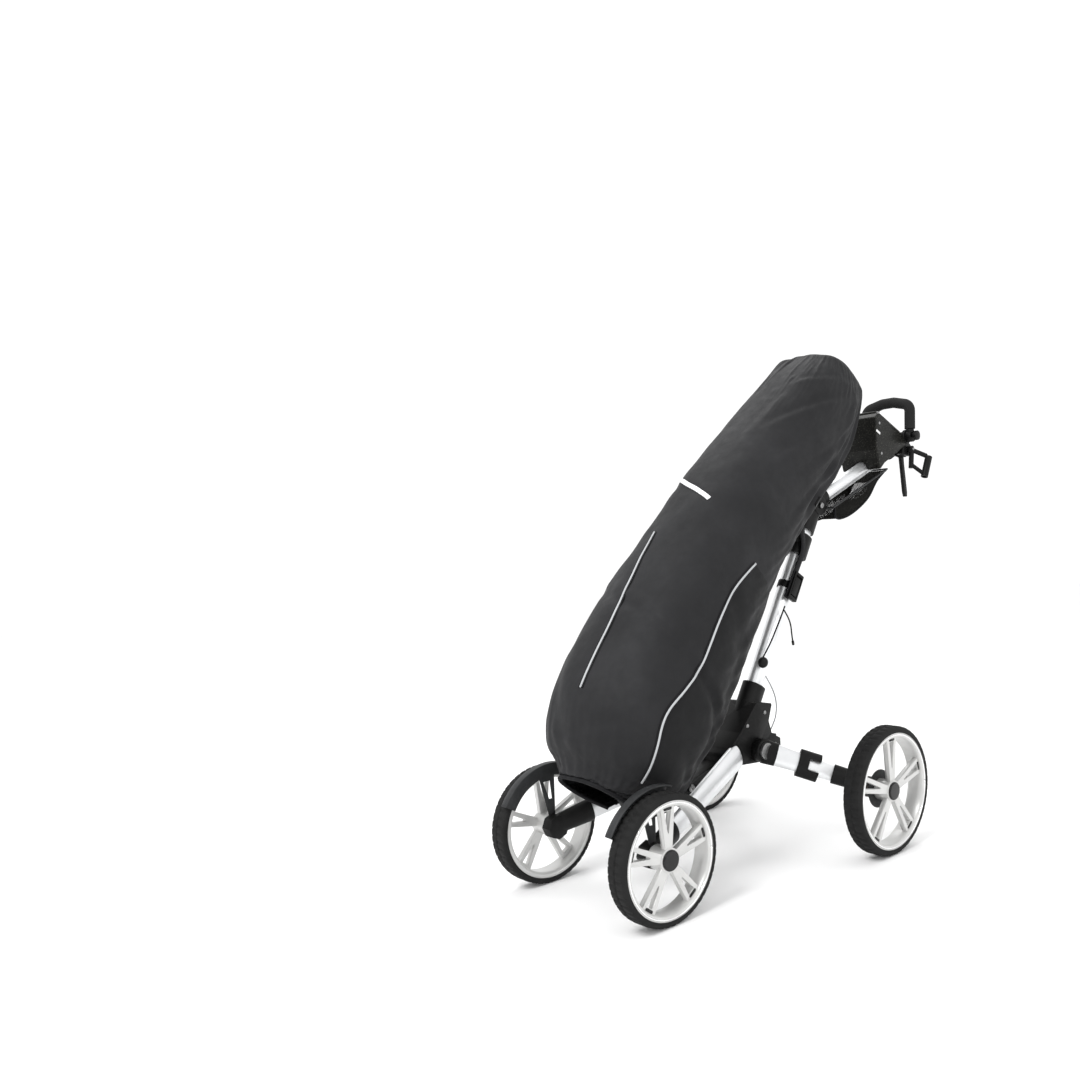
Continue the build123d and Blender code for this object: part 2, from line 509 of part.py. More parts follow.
BASE_DEPTH = 45.0
plate = side_prism([by_bag(-BASE_DEPTH, -44), by_bag(-BASE_DEPTH, 98), by_bag(-BASE_DEPTH - 9, 98),
                    by_bag(-BASE_DEPTH - 9, -44)], -56, 56)
plate -= Plane(origin=(0, *by_bag(-BASE_DEPTH, 30)), x_dir=(1, 0, 0), z_dir=(0, *bag_dir)) * Box(50, 60, 60)
arm_bar = side_prism([by_bag(-BASE_DEPTH - 7, 64), by_bag(-BASE_DEPTH - 7, 98),
                      by_bag(-BASE_DEPTH - 15, 112), (180, 182), (345, 228), (345, 202), (170, 148),
                      (98, 144), by_bag(-BASE_DEPTH - 22, 64)], -20, 20)
CRADLE_BOLT = (250.0, 186.0)
arm_bar -= x_disc(*CRADLE_BOLT, 7, -30, 30)
cradle = plate + arm_bar
cradle -= parts["joint_housing"]
parts["frame_pins"] = solids_of(
    x_disc(*CRADLE_BOLT, 7, -23, 23), x_disc(760, 812, 5, -27, 27), arm_pin, mirrored(arm_pin), buckle_pin,
    x_disc(*LEVER_PIVOT, 3, 17, 39), x_disc(*LOCK_PIVOT, 3, -22, 22), lid_pin,
    x_disc(*SOCKET_PIVOT, SOCKET_PIN_R, 40, 69))

# ---- brake cable: out of the tube's rear side and down into the joint housing -------------------
CABLE_R = 1.6
cable_path = FilletPolyline(
    (12, 532, 400), (16, 550, 372), (20, 561, 336), (23, 554, 302), (24, 538, 280), (24, 522, 262),
    radius=14)
cable = sweep(Plane(origin=cable_path @ 0, z_dir=cable_path % 0) * Circle(CABLE_R), path=cable_path)
parts["brake_cable"] = largest(cable - parts["joint_housing"] - main_outer)

# ---- bag, clubs and rain cover ------------------------------------------------------------------
bag_plane = Plane(origin=(0, *BAG_FOOT), x_dir=(1, 0, 0), z_dir=(0, *bag_dir))


def bag_disc(radius, s0, s1, x=0.0, down=0.0):
    return extrude(bag_plane.offset(s0) * Pos(x, down) * Circle(radius), amount=s1 - s0)


parts["bag_base"] = bag_disc(106, -BASE_DEPTH, 0)
parts["lower_cradle"] = cradle - parts["bag_base"]
parts["bag_shell"] = bag_disc(BAG_R, 0, BAG_LENGTH) - bag_disc(BAG_R - 3, 6, BAG_LENGTH + 1)
cuff = bag_disc(BAG_R + 11, BAG_LENGTH - 30, BAG_LENGTH + 14) - bag_disc(BAG_R, BAG_LENGTH - 31, BAG_LENGTH)
cuff -= bag_disc(BAG_R - 8, BAG_LENGTH - 1, BAG_LENGTH + 20)
CLUB_RINGS = ((34, 4, 45), (70, 9, 0))           # ring radius, clubs on it, first angle
club_places = []
for ring_r, count, first in CLUB_RINGS:
    for k in range(count):
        turn = math.radians(first + 360 * k / count)
        club_places.append((ring_r * math.cos(turn), ring_r * math.sin(turn)))
divider = bag_disc(BAG_R - 3, BAG_LENGTH - 12, BAG_LENGTH)
clubs = []
for number, (cx, cy) in enumerate(club_places):
    divider -= bag_disc(11, BAG_LENGTH - 14, BAG_LENGTH + 2, cx, cy)
    top = BAG_LENGTH + 112 + 24 * (number % 4)
    grip = bag_disc(8, 10, 270, cx, cy)
    shaft = bag_disc(4.5, 269, top, cx, cy)
    head = bag_plane.offset(top) * Pos(cx * 0.86, cy * 0.86, 12) * Sphere(14)
    clubs.append(grip + shaft + head)
parts["bag_cuff"] = cuff + divider + bag_disc(BAG_R, BAG_LENGTH, BAG_LENGTH + 3) - bag_disc(
    BAG_R - 8, BAG_LENGTH - 1, BAG_LENGTH + 20)
parts["golf_clubs"] = solids_of(*clubs)
pocket = bag_disc(BAG_R + 42, 60, 400) - bag_disc(BAG_R, 50, 410)
pocket &= bag_plane.offset(50) * Pos(0, -BAG_R - 20, 0) * Box(150, 110, 800)
parts["front_pocket"] = pocket


def cover_section(y, z, half_w, half_d, tilt, inset=0.0, shift=0.0):
    turn = math.radians(tilt)
    normal = (0, math.cos(turn), math.sin(turn))
    plane = Plane(origin=(0, y + normal[1] * shift, z + normal[2] * shift), x_dir=(1, 0, 0), z_dir=normal)
    return plane * Ellipse(half_w - inset, half_d - inset)


cover_outer = loft([cover_section(*section) for section in COVER_SECTIONS], ruled=True)
inner_faces = [cover_section(*COVER_SECTIONS[0], inset=COVER_WALL, shift=-5.0)]
inner_faces += [cover_section(*section, inset=COVER_WALL) for section in COVER_SECTIONS[:-1]]
inner_faces.append(cover_section(*COVER_SECTIONS[-1], inset=COVER_WALL, shift=-4.0))
cover_inner = loft(inner_faces, ruled=True)
NOTCH_HALF = 30.0            # opening at the back of the hem, for the cradle's arm
notch = side_prism([by_bag(-140, 50), by_bag(-140, 160), by_bag(-44, 160), by_bag(-44, 50)],
                   -NOTCH_HALF, NOTCH_HALF)
parts["rain_cover"] = largest(cover_outer - cover_inner - notch)
parts["lower_cradle"] = largest(parts["lower_cradle"] - parts["rain_cover"])


def one_shape(shape):
    """Join the loose solids of a cut into one node."""
    return solids_of(*shape) if isinstance(shape, list) else shape


os.makedirs("parts", exist_ok=True)
low = [math.inf] * 3
high = [-math.inf] * 3
for name, shape in parts.items():
    placed = Pos(0, -ORIGIN_Y, 0) * one_shape(shape)
    placed.label = name
    export_step(placed, f"parts/{name}.step")
    box = placed.bounding_box()
    low = [min(a, b) for a, b in zip(low, box.min)]
    high = [max(a, b) for a, b in zip(high, box.max)]
print(len(parts), "nodes from", low, "to", high)
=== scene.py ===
import json
import math
import bpy
from mathutils import Matrix, Vector, noise


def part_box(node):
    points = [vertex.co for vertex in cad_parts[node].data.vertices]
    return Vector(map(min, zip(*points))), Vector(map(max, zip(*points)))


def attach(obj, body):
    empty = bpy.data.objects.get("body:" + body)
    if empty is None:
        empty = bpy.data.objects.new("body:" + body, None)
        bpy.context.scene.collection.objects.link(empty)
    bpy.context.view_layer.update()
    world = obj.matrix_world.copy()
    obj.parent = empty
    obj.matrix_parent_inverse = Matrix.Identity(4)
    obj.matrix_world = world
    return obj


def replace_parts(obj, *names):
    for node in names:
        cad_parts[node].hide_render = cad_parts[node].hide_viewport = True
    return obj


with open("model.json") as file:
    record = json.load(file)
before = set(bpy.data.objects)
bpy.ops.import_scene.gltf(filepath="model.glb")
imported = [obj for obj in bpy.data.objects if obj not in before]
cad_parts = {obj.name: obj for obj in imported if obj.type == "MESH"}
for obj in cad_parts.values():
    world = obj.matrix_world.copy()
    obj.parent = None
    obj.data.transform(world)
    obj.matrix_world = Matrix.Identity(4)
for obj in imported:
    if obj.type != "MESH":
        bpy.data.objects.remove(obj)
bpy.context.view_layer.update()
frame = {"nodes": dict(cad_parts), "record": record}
NODES = frame["nodes"]
ORIGIN_Y = 531.54            # the CAD layout's front axle line, in millimetres ahead of the origin


def at(x, y, z):
    """Point of the CAD layout (mm, y from the front axle) in the row frame in metres."""
    return Vector((x, y - ORIGIN_Y, z)) / 1000


# ---- node materials -----------------------------------------------------------------------------
def start_material(name, base, roughness, metallic=0.0, **sockets):
    """Material with a Principled shader; its fixed numbers are set on the shader's own sockets."""
    material = bpy.data.materials.new(name)
    material.use_nodes = True
    shader = material.node_tree.nodes["Principled BSDF"]
    shader.inputs["Base Color"].default_value = (*base, 1)
    shader.inputs["Roughness"].default_value = roughness
    shader.inputs["Metallic"].default_value = metallic
    for socket, value in sockets.items():
        shader.inputs[socket.replace("_", " ")].default_value = value
    return material, material.node_tree, shader


def place_vector(tree, scale=(1, 1, 1), turn=(0, 0, 0)):
    coords = tree.nodes.new("ShaderNodeTexCoord")
    mapping = tree.nodes.new("ShaderNodeMapping")
    mapping.inputs["Scale"].default_value = scale
    mapping.inputs["Rotation"].default_value = turn
    tree.links.new(coords.outputs["Object"], mapping.inputs["Vector"])
    return mapping.outputs["Vector"]


def noise_field(tree, vector, scale, detail=3.0, roughness=0.55):
    field = tree.nodes.new("ShaderNodeTexNoise")
    field.inputs["Scale"].default_value = scale
    field.inputs["Detail"].default_value = detail
    field.inputs["Roughness"].default_value = roughness
    tree.links.new(vector, field.inputs["Vector"])
    return field.outputs["Fac"]


def wave_field(tree, vector, scale, direction):
    field = tree.nodes.new("ShaderNodeTexWave")
    field.bands_direction = direction
    field.inputs["Scale"].default_value = scale
    field.inputs["Distortion"].default_value = 0.4
    tree.links.new(vector, field.inputs["Vector"])
    return field.outputs["Fac"]


def ramp(tree, fac, stops):
    """Colour ramp from (position, colour) stops."""
    node = tree.nodes.new("ShaderNodeValToRGB")
    elements = node.color_ramp.elements
    elements[0].position, elements[1].position = stops[0][0], stops[-1][0]
    elements[0].color, elements[1].color = (*stops[0][1], 1), (*stops[-1][1], 1)
    for position, colour in stops[1:-1]:
        elements.new(position).color = (*colour, 1)
    tree.links.new(fac, node.inputs["Fac"])
    return node.outputs["Color"]


def spread(tree, fac, low, high):
    node = tree.nodes.new("ShaderNodeMapRange")
    node.inputs["To Min"].default_value = low
    node.inputs["To Max"].default_value = high
    tree.links.new(fac, node.inputs["Value"])
    return node.outputs["Result"]


def combine(tree, operation, a, b):
    node = tree.nodes.new("ShaderNodeMath")
    node.operation = operation
    tree.links.new(a, node.inputs[0])
    tree.links.new(b, node.inputs[1])
    return node.outputs["Value"]


def add_bump(tree, shader, height, distance, strength=1.0):
    node = tree.nodes.new("ShaderNodeBump")
    node.inputs["Distance"].default_value = distance
    node.inputs["Strength"].default_value = strength
    tree.links.new(height, node.inputs["Height"])
    tree.links.new(node.outputs["Normal"], shader.inputs["Normal"])


def shade(colour, factor):
    return tuple(min(1.0, c * factor) for c in colour)


def moulded(name, base, roughness, grain=900.0, depth=0.00006, **sockets):
    """Moulded plastic: fine spark-eroded grain, slight mottling and handling polish."""
    material, tree, shader = start_material(name, base, roughness, **sockets)
    vector = place_vector(tree)
    mottle = noise_field(tree, vector, 28, 4)
    tree.links.new(ramp(tree, mottle, [(0.3, shade(base, 0.8)), (0.7, shade(base, 1.35))]),
                   shader.inputs["Base Color"])
    wear = noise_field(tree, vector, 9, 5)
    tree.links.new(spread(tree, wear, roughness - 0.1, roughness + 0.12), shader.inputs["Roughness"])
    add_bump(tree, shader, noise_field(tree, vector, grain, 2), depth)
    return material


def metal(name, base, roughness, metallic, stretch=(1, 1, 1), depth=0.00002, **sockets):
    """Drawn or painted metal: lines along one direction, cloudy sheen and faint smudges."""
    material, tree, shader = start_material(name, base, roughness, metallic, **sockets)
    vector = place_vector(tree, stretch)
    lines = noise_field(tree, vector, 420, 2)
    clouds = noise_field(tree, place_vector(tree), 14, 5)
    tree.links.new(ramp(tree, clouds, [(0.25, shade(base, 0.9)), (0.75, shade(base, 1.06))]),
                   shader.inputs["Base Color"])
    mixed = combine(tree, "MULTIPLY", lines, clouds)
    tree.links.new(spread(tree, mixed, roughness - 0.08, roughness + 0.16), shader.inputs["Roughness"])
    add_bump(tree, shader, lines, depth, 0.6)
    return material


def cloth_material(name, base, weave=1500.0, lift=1.5, **sockets):
    """Coated nylon: plain weave of two crossed waves, soft shade changes and a dull sheen."""
    material, tree, shader = start_material(name, base, 0.62, Specular_IOR_Level=0.15, **sockets)
    warp = wave_field(tree, place_vector(tree), weave / 6.28, "X")
    weft = wave_field(tree, place_vector(tree, turn=(0.87, 0, 0)), weave / 6.28, "Y")
    threads = combine(tree, "MULTIPLY", warp, weft)
    puckers = noise_field(tree, place_vector(tree), 55, 4)
    broad = noise_field(tree, place_vector(tree), 6, 5)
    tree.links.new(ramp(tree, broad, [(0.3, shade(base, 0.78)), (0.52, base), (0.75, shade(base, lift))]),
                   shader.inputs["Base Color"])
    tree.links.new(spread(tree, puckers, 0.5, 0.78), shader.inputs["Roughness"])
    fine = combine(tree, "ADD", spread(tree, threads, 0.0, 0.15), puckers)
    add_bump(tree, shader, fine, 0.00035, 0.7)
    return material


def rubber(name, base, grain=420.0, depth=0.00015, dust=1.8):
    material, tree, shader = start_material(name, base, 0.72, Specular_IOR_Level=0.15)
    vector = place_vector(tree)
    worn = noise_field(tree, vector, 22, 6)
    tree.links.new(ramp(tree, worn, [(0.35, base), (0.8, shade(base, dust))]), shader.inputs["Base Color"])
    tree.links.new(spread(tree, worn, 0.6, 0.85), shader.inputs["Roughness"])
    add_bump(tree, shader, noise_field(tree, vector, grain, 3), depth)
    return material


def foam(name, base):
    """Closed-cell foam grip: small pits."""
    material, tree, shader = start_material(name, base, 0.85, Specular_IOR_Level=0.25)
    vector = place_vector(tree)
    cells = tree.nodes.new("ShaderNodeTexVoronoi")
    cells.inputs["Scale"].default_value = 620
    tree.links.new(vector, cells.inputs["Vector"])
    rubbed = noise_field(tree, vector, 30, 4)
    tree.links.new(ramp(tree, rubbed, [(0.3, base), (0.8, shade(base, 1.9))]), shader.inputs["Base Color"])
    tree.links.new(spread(tree, rubbed, 0.72, 0.92), shader.inputs["Roughness"])
    add_bump(tree, shader, cells.outputs["Distance"], 0.0003, 0.8)
    return material


def speckled(name, base, fleck):
    """Dark moulding with a printed grey fleck, as on the console."""
    material, tree, shader = start_material(name, base, 0.46, Specular_IOR_Level=0.15)
    vector = place_vector(tree)
    flecks = noise_field(tree, vector, 330, 2, 0.4)
    tree.links.new(ramp(tree, flecks, [(0.5, base), (0.6, shade(base, 1.5)), (0.68, fleck)]),
                   shader.inputs["Base Color"])
    tree.links.new(spread(tree, flecks, 0.3, 0.5), shader.inputs["Roughness"])
    add_bump(tree, shader, noise_field(tree, vector, 800, 2), 0.00005)
    return material


ALONG_TUBE = (1, 0.1, 0.1)
M = {
    "silver_tube": metal("satin_silver_tube", (0.86, 0.87, 0.88), 0.34, 0.7, ALONG_TUBE),
    "rim_silver": metal("silver_rim_paint", (0.60, 0.60, 0.59), 0.36, 0.35, depth=0.00001, Coat_Weight=0.2),
    "bright": metal("polished_ring", (0.9, 0.9, 0.9), 0.16, 0.95),
    "steel": metal("zinc_steel", (0.30, 0.30, 0.30), 0.4, 0.95),
    "tyre": rubber("tyre_rubber", (0.010, 0.010, 0.010)),
    "black_moulding": moulded("black_moulding", (0.006, 0.006, 0.006), 0.42, Specular_IOR_Level=0.16),
    "gloss_black": moulded("gloss_black_cap", (0.006, 0.006, 0.006), 0.2, depth=0.00002,
                           Specular_IOR_Level=0.35),
    "dark_bracket": moulded("dark_grey_guard", (0.026, 0.027, 0.028), 0.42, Specular_IOR_Level=0.2),
    "cover_cloth": cloth_material("charcoal_nylon", (0.0155, 0.0156, 0.0168), Sheen_Weight=0.02),
    "cover_panel": cloth_material("black_side_nylon", (0.0075, 0.0076, 0.0082), Sheen_Weight=0.02),
    "hem": cloth_material("black_hem_tape", (0.007, 0.007, 0.008), 2600.0),
    "net": rubber("net_thread", (0.009, 0.009, 0.008)),
    "binding": cloth_material("black_binding", (0.006, 0.006, 0.007), 3000.0),
    "piping": metal("reflective_piping", (0.42, 0.43, 0.44), 0.5, 0.0, depth=0.0001),
    "bar": metal("reflective_bar", (0.85, 0.85, 0.86), 0.45, 0.0, depth=0.0001),
    "grip_foam": foam("handle_foam", (0.008, 0.008, 0.008)),
    "console": speckled("console_fleck", (0.0085, 0.0085, 0.0075), (0.06, 0.06, 0.052)),
    "cable_sleeve": rubber("grey_cable_sleeve", (0.36, 0.37, 0.38), dust=1.2),
    "bag_cloth": cloth_material("grey_bag_nylon", (0.10, 0.10, 0.11)),
    "bag_moulding": moulded("bag_moulding", (0.03, 0.03, 0.03), 0.5),
    "club_shaft": metal("club_chrome", (0.7, 0.7, 0.7), 0.15, 0.95),
    "brake_friction": rubber("brake_friction", (0.06, 0.05, 0.045)),
}


# ---- carried-over CAD nodes ---------------------------------------------------------------------
EDGE_ROUND = {"silver_tube": 0.0006, "rim_silver": 0.0012, "steel": 0.0005, "gloss_black": 0.0006,
              "black_moulding": 0.0018, "dark_bracket": 0.0009, "console": 0.0012, "bag_moulding": 0.001}


def soften(obj, width):
    """Small rounds on the CAD node's sharp edges."""
    for polygon in obj.data.polygons:
        polygon.use_smooth = True
    weld = obj.modifiers.new("Weld", "WELD")
    weld.merge_threshold = 0.00002
    bevel = obj.modifiers.new("Edge round", "BEVEL")
    bevel.width = width
    bevel.segments = 2
    bevel.limit_method = "ANGLE"
    bevel.angle_limit = math.radians(38)
    bevel.use_clamp_overlap = True
    bevel.harden_normals = True


def dress_cad_nodes():
    record_slots = {part["node"]: part["material_slot"] for part in frame["record"]["subparts"]}
    for name, obj in NODES.items():
        key = record_slots[name]
        if name in ("console_tray", "console_lid"):
            key = "console"
        if name.startswith("brake_pad"):
            key = "brake_friction"
        obj.data.materials.clear()
        obj.data.materials.append(M[key])
        if key in EDGE_ROUND:
            soften(obj, EDGE_ROUND[key])


# ---- mesh helpers -------------------------------------------------------------------------------
def new_mesh(name, verts, faces, material, body):
    mesh = bpy.data.meshes.new(name)
    mesh.from_pydata([tuple(v) for v in verts], [], faces)
    mesh.validate()
    mesh.materials.append(material)
    for polygon in mesh.polygons:
        polygon.use_smooth = True
    obj = bpy.data.objects.new(name, mesh)
    bpy.context.scene.collection.objects.link(obj)
    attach(obj, body)
    return obj


def grid_faces(rows, columns, wrap_columns=False):
    faces = []
    for i in range(rows - 1):
        for j in range(columns if wrap_columns else columns - 1):
            k = (j + 1) % columns
            faces.append((i * columns + j, i * columns + k, (i + 1) * columns + k, (i + 1) * columns + j))
    return faces


def tube_mesh(name, points, radius, material, body, sides=10, flat=1.0):
    """Closed-ended tube along points; flat under 1 presses its section towards the second axis."""
    verts = []
    previous = None
    for i, point in enumerate(points):
        ahead = points[min(i + 1, len(points) - 1)] - points[max(i - 1, 0)]
        ahead.normalize()
        side = previous if previous else ahead.orthogonal()
        side = (side - ahead * side.dot(ahead)).normalized()
        previous = side
        other = ahead.cross(side)
        for k in range(sides):
            turn = 2 * math.pi * k / sides
            verts.append(point + side * (radius * math.cos(turn)) + other * (radius * flat * math.sin(turn)))
    faces = grid_faces(len(points), sides, True)
    faces.append(tuple(reversed(range(sides))))
    faces.append(tuple(range(len(verts) - sides, len(verts))))
    return new_mesh(name, verts, faces, material, body)


def turned_mesh(name, profile, centre, axis, material, body, steps=48):
    """Profile of (distance along the axis, radius) turned about an axis through centre."""
    axis = axis.normalized()
    side = axis.orthogonal().normalized()
    other = axis.cross(side)
    verts = []
    for along, radius in profile:
        for k in range(steps):
            turn = 2 * math.pi * k / steps
            verts.append(centre + axis * along + (side * math.cos(turn) + other * math.sin(turn)) * radius)
    faces = grid_faces(len(profile), steps, True)
    faces.append(tuple(reversed(range(steps))))
    faces.append(tuple(range(len(verts) - steps, len(verts))))
    return new_mesh(name, verts, faces, material, body)


def smooth_line(points, per_span=8):
    """Catmull-Rom line through a few points."""
    line = []
    ends = [points[0] * 2 - points[1], *points, points[-1] * 2 - points[-2]]
    for a, b, c, d in zip(ends, ends[1:], ends[2:], ends[3:]):
        for step in range(per_span):
            t = step / per_span
            line.append(0.5 * ((2 * b) + (c - a) * t + (2 * a - 5 * b + 4 * c - d) * t * t
                               + (3 * b - a - 3 * c + d) * t ** 3))
    line.append(points[-1].copy())
    return line


# ---- wheels -------------------------------------------------------------------------------------
TYRE_STEPS = 288
BLOCK_STEPS = 6              # grid steps from one tread block to the next
GROOVE = 0.0022


def tyre(place):
    """Treaded tyre inside the CAD tyre's outline: two rows of offset blocks and ribbed shoulders."""
    node = "front_tyre_" + place[1] if place[0] == "front" else "rear_tyre_" + place[1]
    low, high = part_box(node)
    centre = (low + high) / 2
    outer_r = (high.z - low.z) / 2
    half = (high.x - low.x) / 2
    bead_r = outer_r - (0.013 if place[0] == "front" else 0.0145)
    half_across = [(0.05, 1.0), (0.12, 1.0), (0.34, 1.0), (0.56, 1.0), (0.74, 0.97), (0.84, 0.9),
                   (0.93, 0.72), (0.985, 0.5), (1.0, 0.3), (1.0, 0.0)]
    across = [(-u, rise) for u, rise in reversed(half_across)] + half_across
    verts = []
    for step in range(TYRE_STEPS):
        turn = 2 * math.pi * step / TYRE_STEPS
        for u, rise in across:
            radius = bead_r + (outer_r - bead_r) * rise
            row = step + (BLOCK_STEPS // 2 if u > 0 else 0)
            in_gap = row % BLOCK_STEPS < 2
            if abs(u) < 0.06:
                radius -= GROOVE
            elif abs(u) < 0.8 and in_gap:
                radius -= GROOVE
            elif abs(u) < 0.96 and row % BLOCK_STEPS < 1:
                radius -= GROOVE * 0.6
            verts.append(centre + Vector((u * half, radius * math.cos(turn), radius * math.sin(turn))))
    columns = len(across)
    faces = grid_faces(TYRE_STEPS, columns)
    last = (TYRE_STEPS - 1) * columns
    for j in range(columns - 1):
        faces.append((last + j, last + j + 1, j + 1, j))
    for i in range(TYRE_STEPS):
        k = (i + 1) % TYRE_STEPS
        faces.append((i * columns + columns - 1, i * columns, k * columns, k * columns + columns - 1))
    obj = new_mesh("treaded_" + node, verts, faces, M["tyre"], f"{place[0]}_wheel_{place[1]}")
    mark_sharp(obj, 50)
    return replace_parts(obj, node)


def mark_sharp(obj, degrees):
    """Flat shading across edges sharper than the given angle."""
    obj.data.set_sharp_from_angle(angle=math.radians(degrees))


def rim_trim(place):
    """Bright lip ring and five plain oblong inlays on a wheel's outer face."""
    node = f"{place[0]}_rim_{place[1]}"
    body = f"{place[0]}_wheel_{place[1]}"
    low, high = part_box(node)
    centre = (low + high) / 2
    rim_r = (high.z - low.z) / 2
    outward = 1.0 if place[1] == "left" else -1.0
    face_x = (high.x if outward > 0 else low.x)
    ring = []
    for k in range(97):
        turn = 2 * math.pi * k / 96
        ring.append(Vector((face_x - outward * 0.0004, centre.y + (rim_r - 0.0045) * math.cos(turn),
                            centre.z + (rim_r - 0.0045) * math.sin(turn))))
    tube_mesh(f"lip_ring_{place[0]}_{place[1]}", ring, 0.0021, M["bright"], body, 8)
    for k in range(5):
        turn = math.radians(90 + 72 * k)
        radial = Vector((0, math.cos(turn), math.sin(turn)))
        tangent = Vector((0, -math.sin(turn), math.cos(turn)))
        middle = Vector((face_x - outward * 0.0078, centre.y, centre.z)) + radial * (rim_r - 0.0155)
        verts = []
        for depth in (0.0, 0.0014):
            for n in range(16):
                a = 2 * math.pi * n / 16
                wide = tangent * (0.0075 * math.copysign(1, math.cos(a)) + 0.0032 * math.cos(a))
                verts.append(middle + wide + radial * 0.0032 * math.sin(a) + Vector((outward * depth, 0, 0)))
        faces = grid_faces(2, 16, True) + [tuple(range(16)), tuple(range(16, 32))]
        new_mesh(f"rim_inlay_{place[0]}_{place[1]}_{k}", verts, faces, M["gloss_black"], body)


# ---- rain cover ---------------------------------------------------------------------------------
# Hem to crown: y, z, half width, half depth, lean of the bag's axis in degrees. The last three
# sections are wider than the CAD cover's, for the club heads.
COVER_SECTIONS = [
    (-4, 220, 84, 78, 52), (22, 250, 120, 114, 52), (40, 282, 152, 147, 52),
    (76, 342, 172, 168, 51), (142, 430, 178, 172, 50),
    (215, 522, 175, 168, 49), (300, 624, 163, 158, 49), (370, 706, 153, 150, 47), (452, 795, 148, 146, 45),
    (548, 884, 144, 142, 43), (645, 970, 142, 139, 43), (728, 1048, 136, 132, 45), (788, 1108, 122, 114, 50),
    (818, 1144, 92, 84, 56),
]
HEM_T = -1.0                 # heights up the cover count its sections, 0 at the bag's base
SPAN = len(COVER_SECTIONS) - 2
AROUND = 168
ROWS = 131
REAR = 90.0                  # degrees round the cover: 0 is the cart's left, 90 its rear and underside
BAG_LEAN = math.radians(50)
DRAPE_FRAMES = 18
MOST_DRAPE = 0.014           # the furthest the simulation may move the cloth, in metres


def section_at(t):
    """Catmull-Rom blend of the cover's sections; t runs from HEM_T to SPAN at the crown."""
    up = t - HEM_T
    last = len(COVER_SECTIONS) - 1
    i = min(int(up), last - 1)
    f = up - i
    a, b, c, d = (COVER_SECTIONS[min(max(k, 0), last)] for k in (i - 1, i, i + 1, i + 2))
    return [0.5 * (2 * q + (r - p) * f + (2 * p - 5 * q + 4 * r - s) * f * f
                   + (3 * q - p - 3 * r + s) * f ** 3)
            for p, q, r, s in zip(a, b, c, d)]


def row_height(row, rows=None):
    """Height up the cover of a grid row."""
    return HEM_T + (SPAN - HEM_T) * row / ((rows or ROWS) - 1)


def angle_gap(a, b):
    return abs((a - b + 180) % 360 - 180)


def rounded(value, inner, outer):
    """1 inside the inner distance, 0 outside the outer one, smooth between."""
    w = min(1.0, max(0.0, (outer - abs(value)) / (outer - inner)))
    return w * w * (3 - 2 * w)


# Soft creases of the hood and lower pockets: angle and height at both ends, width in degrees, depth in mm
CREASES = [
    (24, 11.7, -92, 9.4, 6, -7), (28, 11.5, -70, 8.3, 5, -7), (31, 11.3, -42, 7.6, 4.5, -7),
    (34, 11.0, -18, 7.2, 4, -6), (36, 10.7, 6, 6.9, 4, -6), (38, 10.3, 24, 6.6, 4, -6),
    (-108, 11.9, -106, 9.4, 6, -15), (-64, 11.6, -86, 7.4, 5, -4),
    (-150, 7.12, -60, 6.3, 9, -4), (-60, 6.2, 12, 4.2, 10, -4), (10, 9.6, 48, 6.4, 5, -6),
    (-70, 3.0, -30, 0.6, 10, -5), (-50, 1.8, -110, 0.7, 10, -4), (-128, 3.4, -100, 1.2, 9, -5),
    (20, 4.6, 40, 1.4, 8, -9), (4, 3.3, 34, 2.6, 7, -8), (12, 2.0, 52, 0.8, 9, -8),
    (30, 5.6, 10, 3.9, 8, -6),
    (200, 10.6, 160, 8.0, 9, -7), (-160, 4.6, 165, 1.8, 9, -8), (170, 3.0, 140, 1.0, 9, -7),
]


# Where club heads prop the hood: angle, height, how far in mm and how wide in degrees
CLUB_HEADS = [(-130, 11.6, 19, 20), (34, 11.5, 9, 18), (-48, 11.5, 2, 24), (150, 11.3, 9, 24),
              (95, 11.6, 5, 30)]


def club_heads(turn, t):
    """Blunt corners the club heads push out under the hood."""
    push = 0.0
    for angle, height, most, width in CLUB_HEADS:
        gap = angle_gap(turn, angle) / width
        push += most * math.exp(-gap * gap - ((t - height) / 0.9) ** 2)
    return push


def crease_depth(turn, t):
    depth = 0.0
    for a0, t0, a1, t1, width, height in CREASES:
        along = (t - t0) / (t1 - t0)
        fade = rounded(along - 0.5, 0.25, 0.6)
        if fade == 0.0:
            continue
        middle = a0 + (a1 - a0) * along
        gap = ((turn - middle + 180) % 360 - 180) / width
        depth += height * fade * (math.exp(-gap * gap) - 0.45 * math.exp(-((gap - 1.7) ** 2)))
    return depth


def cover_point(turn, t, proud=0.0):
    """Point on the cover in mm, and its outward direction."""
    y, z, half_w, half_d, lean = section_at(t)
    a, tilt = math.radians(turn), math.radians(lean)
    power = 2 / 2.25
    c = math.copysign(abs(math.cos(a)) ** power, math.cos(a))
    s = math.copysign(abs(math.sin(a)) ** power, math.sin(a))
    out = Vector((math.cos(a), math.sin(a) * math.sin(tilt), -math.sin(a) * math.cos(tilt)))
    point = Vector((half_w * c, y + half_d * s * math.sin(tilt), z - half_d * s * math.cos(tilt)))
    return point + out * proud, out


